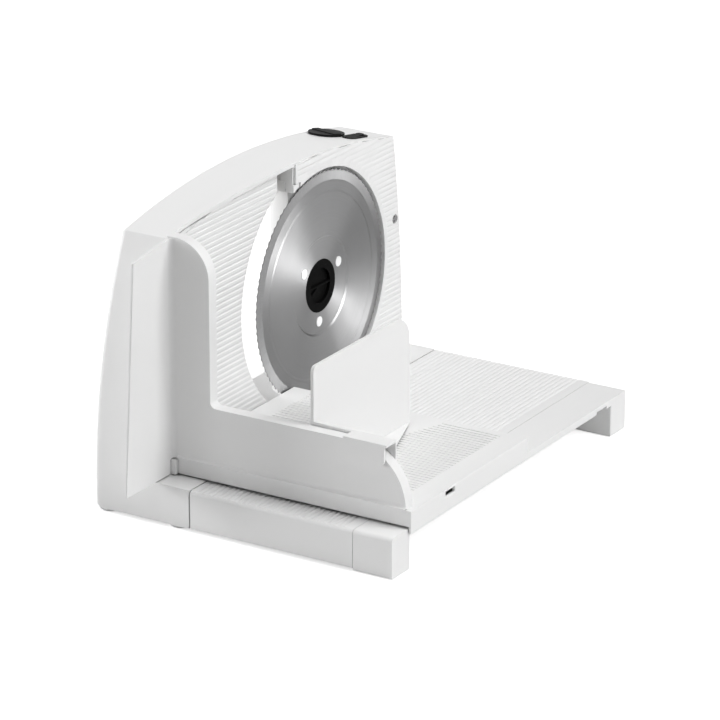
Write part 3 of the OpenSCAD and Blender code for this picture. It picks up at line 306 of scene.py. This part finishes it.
def blade_steel(name):
    finish = Finish(name)
    x, y, z = finish.parts(finish.place())
    across, up = y - axle.y, z - axle.z
    reach = (across * across + up * up).root()
    turn = finish.node("Math", {"operation": "ARCTAN2"}, {0: up, 1: across})
    rings = finish.node("CombineXYZ", None, {
        0: reach * RINGS_PER_METRE, 1: turn * RING_DRIFT, 2: 0.0})
    fan = finish.node("CombineXYZ", None, {
        0: reach * CUT_DRIFT, 1: turn * CUTS_PER_RADIAN, 2: 4.0})
    round_lines = finish.noise(rings, 1.0, 3.0, 0.7)
    cross_lines = finish.noise(fan, 1.0, 3.0, 0.7)
    cloud = finish.noise(finish.place(), 35.0, 3.0)
    round_tone = finish.mix(round_lines, (0.22, 0.22, 0.222), (0.32, 0.32, 0.322))
    cross_tone = finish.mix(cross_lines, (0.18, 0.18, 0.182), (0.36, 0.36, 0.362))
    tangent = finish.node("Tangent", {"direction_type": "RADIAL", "axis": "X"})
    disc = finish.surface(
        Base_Color=round_tone, Metallic=1.0, Anisotropic=0.9, Anisotropic_Rotation=0.25,
        Roughness=cloud.between(0.3, 0.7, 0.36, 0.42) + (round_lines - 0.5) * 0.1,
        Tangent=tangent, Normal=finish.bump(round_lines, 0.002 * MM))
    bevel = finish.surface(
        Base_Color=cross_tone, Metallic=1.0, Anisotropic=0.8,
        Roughness=cross_lines.between(0.3, 0.7, 0.34, 0.44),
        Tangent=tangent, Normal=finish.bump(cross_lines, 0.006 * MM))
    edge = blade_r - TOOTH_DEPTH - BEVEL_WIDTH
    share = reach.between(edge - BEVEL_BLEND, edge + BEVEL_BLEND)
    mixed = finish.node("MixShader", None, {0: share, 1: disc, 2: bevel})
    return finish.done(mixed)


steel_blade = blade_steel("steel_blade_turned")

# %% [markdown]
# ## Plain steel and bronze
#
# Screws, pins, rods and the motor's can are bright steel with fine marks from turning
# or pressing. The bushes and the brush holders are sintered bronze, which is full of
# tiny pores.

# %% Plain metal
def plain_metal(name, dark, light, low_gloss, high_gloss, grain_scale):
    finish = Finish(name)
    place = finish.place()
    grain = finish.noise(place, grain_scale, 3.0, 0.6)
    cloud = finish.noise(place, 120.0, 2.0)
    return finish.done(finish.surface(
        Base_Color=finish.mix(grain, dark, light), Metallic=1.0,
        Roughness=cloud.between(0.3, 0.7, low_gloss, high_gloss),
        Normal=finish.bump(grain, 0.01 * MM)))


steel_plain = plain_metal("steel_plain_bright", (0.55, 0.55, 0.55), (0.68, 0.68, 0.69),
                          0.24, 0.34, 900.0)
rivet_steel = plain_metal("rivet_steel_peened", (0.80, 0.80, 0.80), (0.92, 0.92, 0.92),
                          0.30, 0.42, 700.0)
bronze = plain_metal("bronze_sintered", (0.50, 0.34, 0.16), (0.66, 0.48, 0.26),
                     0.38, 0.5, 2600.0)

# %% [markdown]
# ## Rounding the moulded edges
#
# No moulded edge is truly sharp. A thin round edge catches a line of light, and that
# line is what tells the eye that a part is plastic. The CAD part must stay as it is, so
# a copy of its mesh is made, its doubled points are merged, and flat faces become
# single faces again. Then bevel rounds the outer edges, except where a face beside an
# edge is too narrow.

# %% Edges that can be rounded
SHARPEST_SMOOTH = math.radians(35)
LENGTH_ROOM = 2.2    # how many radii long an edge has to be,
FACE_ROOM = 1.1      # how wide a face is for each of its rounded edges,
END_ROOM = 1.2       # and how far the next edge reaches away


def sharp_outside(edge, radius):
    return (edge.is_manifold and edge.is_convex
            and edge.calc_length() > LENGTH_ROOM * radius
            and edge.calc_face_angle() > SHARPEST_SMOOTH)


def has_room(face, sharp, radius):
    """Whether the long edges of a face can be cut back without meeting in its middle."""
    longest = max(edge.calc_length() for edge in face.edges)
    cuts = sum(edge in sharp and edge.calc_length() > longest / 2 for edge in face.edges)
    return face.calc_area() / longest > FACE_ROOM * radius * min(cuts, 2)


def end_room(edge, face, vert):
    """How far the next edge of a face reaches away from this one."""
    beside = next(e for e in face.edges if e is not edge and vert in e.verts)
    along = edge.other_vert(vert).co - vert.co
    away = beside.other_vert(vert).co - vert.co
    return away.length * math.sin(along.angle(away))


def ends_fit(edge, radius):
    return all(end_room(edge, face, vert) > END_ROOM * radius
               for face in edge.link_faces for vert in edge.verts)


def outer_edges(mesh, radius):
    sharp = {edge for edge in mesh.edges if sharp_outside(edge, radius)}
    return [edge for edge in sharp if ends_fit(edge, radius)
            and all(has_room(face, sharp, radius) for face in edge.link_faces)]


def bevel(mesh, edges, radius, steps):
    bmesh.ops.bevel(mesh, geom=edges, offset=radius, offset_type="OFFSET",
                    segments=steps, profile=0.5, affect="EDGES", clamp_overlap=False,
                    material=-1)


print("edges over", round(math.degrees(SHARPEST_SMOOTH)), "degrees are rounded")

# %% [markdown]
# ## Ribs, the plate's rim and the holder's lip
#
# The ribs are soft waves. Their CAD grooves are square, so the walls of each groove are
# tilted first: the upper points of a wall move back into the rib and the lower ones
# move into the groove. The plate round the blade grows a little, so that it meets the
# frame around it. The lip of the remnant holder that hangs over the wall also has
# rounded corners, so its two lower corners are cut with a larger radius.

# %% Forms of single parts
LIP_CORNER = 3.0 * MM
LIP_STEPS = 6
PLATE_GROWTH = 0.25 * MM
GROOVE_DEPTH = 0.5 * MM
GROOVE_SHIFT = 0.42 * MM
SAME_PLACE = 0.01 * MM
SAME_DEPTH_SHARE = 0.02
SIDEWAYS = 0.01      # a face whose normal leans out less than this is a groove's wall
OUTWARD, UPWARD = Vector((1, 0, 0)), Vector((0, 0, 1))
GROOVED = {"front_plate": OUTWARD, "stop_plate": OUTWARD, "table": UPWARD,
           "carriage_tray": UPWARD, "end_rail": UPWARD}


def soften_grooves(mesh, out, depth, shift):
    """Tilts the walls of square grooves that are cut into a face looking along out."""
    moves = {}
    for face in mesh.faces:
        levels = [vert.co.dot(out) for vert in face.verts]
        height = max(levels) - min(levels)
        is_wall = abs(face.normal.dot(out)) < SIDEWAYS
        if is_wall and abs(height - depth) < SAME_DEPTH_SHARE * depth:
            middle = (max(levels) + min(levels)) / 2
            for vert, level in zip(face.verts, levels):
                way = 1 if level < middle else -1
                key = tuple(round(c, 2) * way for c in face.normal)
                moves.setdefault(vert, set()).add(key)
    for vert, ways in moves.items():
        for way in ways:
            vert.co += Vector(way) * shift


def close_round(mesh, growth):
    """Makes a plate a little larger, so that it meets the frame around it."""
    low, high = box_of("front_plate")
    size, middle = high - low, (low + high) / 2
    bmesh.ops.scale(mesh, verts=mesh.verts, space=Matrix.Translation(-middle),
                    vec=(1, 1 + 2 * growth / size.y, 1 + 2 * growth / size.z))


def hanging_corners(mesh):
    """The short edges through the lip's thickness, at its two lower corners."""
    front = min(v.co.y for v in mesh.verts)
    lip = [v for v in mesh.verts if v.co.y < front + SAME_PLACE]
    bottom = min(v.co.z for v in lip)
    low = {v for v in lip if v.co.z < bottom + SAME_PLACE}
    return [edge for edge in mesh.edges if len(low & set(edge.verts)) == 1
            and abs(edge.verts[0].co.z - edge.verts[1].co.z) < SAME_PLACE
            and abs(edge.verts[0].co.x - edge.verts[1].co.x) < SAME_PLACE]


print("parts with ribs:", ", ".join(GROOVED))

# %% [markdown]
# ## Making the copies
#
# Each copy takes its CAD part's place and rides on the same body. The table gives the
# radius in millimetres. A radius of 0 leaves the edges of a part as they are, which the
# two ribbed plates need, because their many small faces have no room for a round.

# %% Rounded copies
body_of_node = {node: body
                for body, nodes in frame["record"]["behaviour"]["bodies"].items()
                for node in nodes}
slot_of_node = {s["node"]: s["material_slot"] for s in frame["record"]["subparts"]}

DOUBLED_POINT = 0.001 * MM
FLAT_ENOUGH = math.radians(0.3)


def rounded(node, radius, steps=2):
    mesh = bmesh.new()
    mesh.from_mesh(frame["nodes"][node].data)
    bmesh.ops.remove_doubles(mesh, verts=mesh.verts, dist=DOUBLED_POINT)
    if radius:
        bmesh.ops.dissolve_limit(
            mesh, angle_limit=FLAT_ENOUGH, verts=mesh.verts, edges=mesh.edges)
    if node in GROOVED:
        soften_grooves(mesh, GROOVED[node], GROOVE_DEPTH, GROOVE_SHIFT)
    if node == "remnant_holder":
        bevel(mesh, hanging_corners(mesh), LIP_CORNER, LIP_STEPS)
    if node == "front_plate":
        close_round(mesh, PLATE_GROWTH)
    chosen = outer_edges(mesh, radius) if radius else []
    if chosen:
        bevel(mesh, chosen, radius, steps)
    for face in mesh.faces:
        face.smooth = True
    for edge in mesh.edges:
        edge.smooth = edge.is_manifold and edge.calc_face_angle() < SHARPEST_SMOOTH
    data = bpy.data.meshes.new(node + "_rounded")
    mesh.to_mesh(data)
    mesh.free()
    piece = bpy.data.objects.new(node + "_rounded", data)
    bpy.context.scene.collection.objects.link(piece)
    weigh = piece.modifiers.new("flat_faces_stay_flat", "WEIGHTED_NORMAL")
    weigh.keep_sharp = True
    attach(piece, body_of_node[node])
    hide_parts(node)
    print(f"{node}: {len(chosen)} edges rounded, {len(data.polygons)} faces")
    return piece


EDGE_RADIUS = {
    "housing": 0.6, "rear_cover": 0.4, "front_plate": 0, "stop_plate": 0,
    "table": 0.5, "end_rail": 1.6, "carriage_tray": 0.8, "carriage_wall": 0.8,
    "remnant_holder": 0.8, "thickness_dial": 0.3, "switch_bezel": 0.2,
    "switch_rocker": 0.3, "blade_lock": 0.3, "cord_gland": 0.5, "rubber_feet": 0.5,
}
rounded_parts = {node: rounded(node, radius * MM) for node, radius in EDGE_RADIUS.items()}

# %% [markdown]
# ## The sliding cover in the slice window
#
# The arm that moves the stop plate passes through a slot under the crown. A thin cover
# rides on the arm and hides the slot, so no dark hole shows. It stays clear of the wall
# behind it and never comes further out than the blade.

# %% A cover on the stop's arm
COVER_T = 0.5 * MM
COVER_GAP = 0.3 * MM
COVER_RIM = 1.2 * MM
COVER_TOP_RIM = 0.5 * MM     # smaller: the housing is close above the arm
WINDOW_LENGTH = 10.0 * MM    # from the stop plate's edge to the window's end wall
ARM_BEHIND = 11.0 * MM       # the arm's far end, which the cover leaves bare

arm_low, arm_high = box_of("stop_carrier")
face_low, face_high = box_of("stop_plate")
end_wall_y = face_high.y + WINDOW_LENGTH
mesh = bmesh.new()
bmesh.ops.create_cube(mesh, size=1.0)
cover_from = Vector((arm_low.x + ARM_BEHIND, end_wall_y - COVER_GAP - COVER_T,
                     arm_low.z - COVER_RIM))
cover_to = Vector((face_high.x, end_wall_y - COVER_GAP, arm_high.z + COVER_TOP_RIM))
bmesh.ops.scale(mesh, verts=mesh.verts, vec=cover_to - cover_from)
bmesh.ops.translate(mesh, verts=mesh.verts, vec=(cover_from + cover_to) / 2)
cover_data = bpy.data.meshes.new("slot_cover")
mesh.to_mesh(cover_data)
mesh.free()
slot_cover = bpy.data.objects.new("slot_cover", cover_data)
bpy.context.scene.collection.objects.link(slot_cover)
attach(slot_cover, "stop")
print("cover from", cover_from / MM, "to", cover_to / MM)

# %% [markdown]
# ## Putting a finish on a part
#
# Every CAD part has a material slot in the record. One table turns the slot into a
# finish, and a few parts have a finish of their own.

# %% Assign the finishes
FINISH_OF_SLOT = {
    "shell_white": shell_white, "rubber_grey": rubber_grey,
    "control_black": control_black, "steel_blade": steel_blade,
    "steel_plain": steel_plain, "gear_cream": gear_cream, "bronze": bronze,
}
FINISH_OF_NODE = {"blade_rivets": rivet_steel, "blade_lock": lock_black}


def paint(thing, material):
    thing.data.materials.clear()
    thing.data.materials.append(material)


def finish_of(node):
    return FINISH_OF_NODE.get(node) or FINISH_OF_SLOT[slot_of_node[node]]


for node, part in list(frame["nodes"].items()) + list(rounded_parts.items()):
    paint(part, finish_of(node))
paint(slot_cover, shell_white)
print("finishes on", len(frame["nodes"]), "parts")

# %% [markdown]
# ## The floor and the light
#
# The picture has a pure white background and soft light from several sides: a wide lamp
# high on the right, one overhead, one far on the left and a weak one at the front left.
# A brushed blade also mirrors what stands round it. A dark cloth on the floor behind the
# slicer gives the steel its dark fans, and a bright card far on the right the light
# ones, as in a studio. Only mirrored rays see the two.

# %% Floor and world
def sheet(name, middle, width, depth, turn=None):
    mesh = bmesh.new()
    bmesh.ops.create_grid(mesh, x_segments=1, y_segments=1, size=0.5)
    bmesh.ops.scale(mesh, verts=mesh.verts, vec=(width, depth, 1))
    if turn:
        bmesh.ops.rotate(mesh, verts=mesh.verts, matrix=turn)
    bmesh.ops.translate(mesh, verts=mesh.verts, vec=middle)
    data = bpy.data.meshes.new(name)
    mesh.to_mesh(data)
    mesh.free()
    thing = bpy.data.objects.new(name, data)
    bpy.context.scene.collection.objects.link(thing)
    return thing


def only_mirrored(thing):
    thing.visible_camera = False
    thing.visible_diffuse = False
    thing.visible_shadow = False
    thing.visible_transmission = False


def background_rays(owner):
    """1 for the rays that see the white background: straight, mirrored or through."""
    rays = owner.node("LightPath").socket.node
    seen = Wire(owner, rays.outputs["Is Camera Ray"])
    mirrored = Wire(owner, rays.outputs["Is Glossy Ray"])
    through = Wire(owner, rays.outputs["Is Transmission Ray"])
    return seen + mirrored + through


FLOOR_TONE = (0.80, 0.80, 0.80)
FLOOR_GLOW = 0.62
floor = sheet("floor", (0, 0, -0.1 * MM), 24.0, 24.0)
floor_finish = Finish("floor_paper")
floor_paper = floor_finish.node("BsdfDiffuse", None, {"Color": FLOOR_TONE})
glow = floor_finish.node("Emission", None, {
    "Color": (1.0, 1.0, 1.0), "Strength": background_rays(floor_finish) * FLOOR_GLOW})
paint(floor, floor_finish.done(
    floor_finish.node("AddShader", None, {0: floor_paper, 1: glow})))

UPRIGHT = Matrix.Rotation(math.radians(90), 3, "X")
FACING_LEFT = Matrix.Rotation(math.radians(90), 3, "Y")
CHARCOAL_TONE = (0.03, 0.03, 0.03)
CARD_LIGHT = 22.0
cloth = sheet("dark_cloth", (-0.15, 1.7, 1.0 * MM), 0.7, 2.6)
screen = sheet("dark_screen", (-0.25, 3.0, 0.6), 2.5, 1.2, UPRIGHT)
cloth_finish = Finish("cloth_charcoal")
charcoal = cloth_finish.done(
    cloth_finish.node("BsdfDiffuse", None, {"Color": CHARCOAL_TONE}))
card = sheet("bright_card", (2.9, 0.45, 0.55), 1.0, 1.1, FACING_LEFT)
card_finish = Finish("card_glow")
card_glow = card_finish.done(
    card_finish.node("Emission", None, {"Strength": CARD_LIGHT}))
for thing, finish in ((cloth, charcoal), (screen, charcoal), (card, card_glow)):
    only_mirrored(thing)
    paint(thing, finish)

WORLD_LIGHT = 0.08
world = bpy.data.worlds.new("studio")
bpy.context.scene.world = world
world.use_nodes = True
sky = world.node_tree.nodes["Background"].inputs
sky["Color"].default_value = (1.0, 1.0, 1.0, 1.0)
rays = world.node_tree.nodes.new("ShaderNodeLightPath")
total = sky["Strength"]
for kind in ("Is Camera Ray", "Is Glossy Ray", "Is Transmission Ray"):
    add = world.node_tree.nodes.new("ShaderNodeMath")
    add.operation = "ADD"
    add.use_clamp = True
    world.node_tree.links.new(rays.outputs[kind], add.inputs[0])
    add.inputs[1].default_value = WORLD_LIGHT
    world.node_tree.links.new(add.outputs[0], total)
    total = add.inputs[1]

print("floor, world, cloth, screen and card are up")

# %% [markdown]
# ## The lamps
#
# Four soft lamps aim at the middle of the slicer. Each is a wide square, so shadows have
# soft edges. The last number of each is its power in watts.

# %% Lamps
def lamp(name, place, aim, width, height, watts):
    data = bpy.data.lights.new(name, "AREA")
    data.shape = "RECTANGLE"
    data.size, data.size_y, data.energy = width, height, watts
    thing = bpy.data.objects.new(name, data)
    bpy.context.scene.collection.objects.link(thing)
    thing.location = place
    look = Vector(aim) - Vector(place)
    thing.rotation_euler = look.to_track_quat("-Z", "Y").to_euler()


CENTRE = (0.0, 0.0, 0.1)
lamp("lamp_right", (2.0, 0.4, 1.9), CENTRE, 1.5, 1.5, 52)
lamp("lamp_top", (0.2, 0.3, 2.6), CENTRE, 2.0, 2.0, 23)
lamp("lamp_left", (-2.5, -1.0, 0.6), CENTRE, 1.0, 1.0, 42)
lamp("lamp_front", (-1.3, -2.3, 0.9), CENTRE, 1.0, 1.0, 9)
print("lamps:", len(bpy.data.lights))
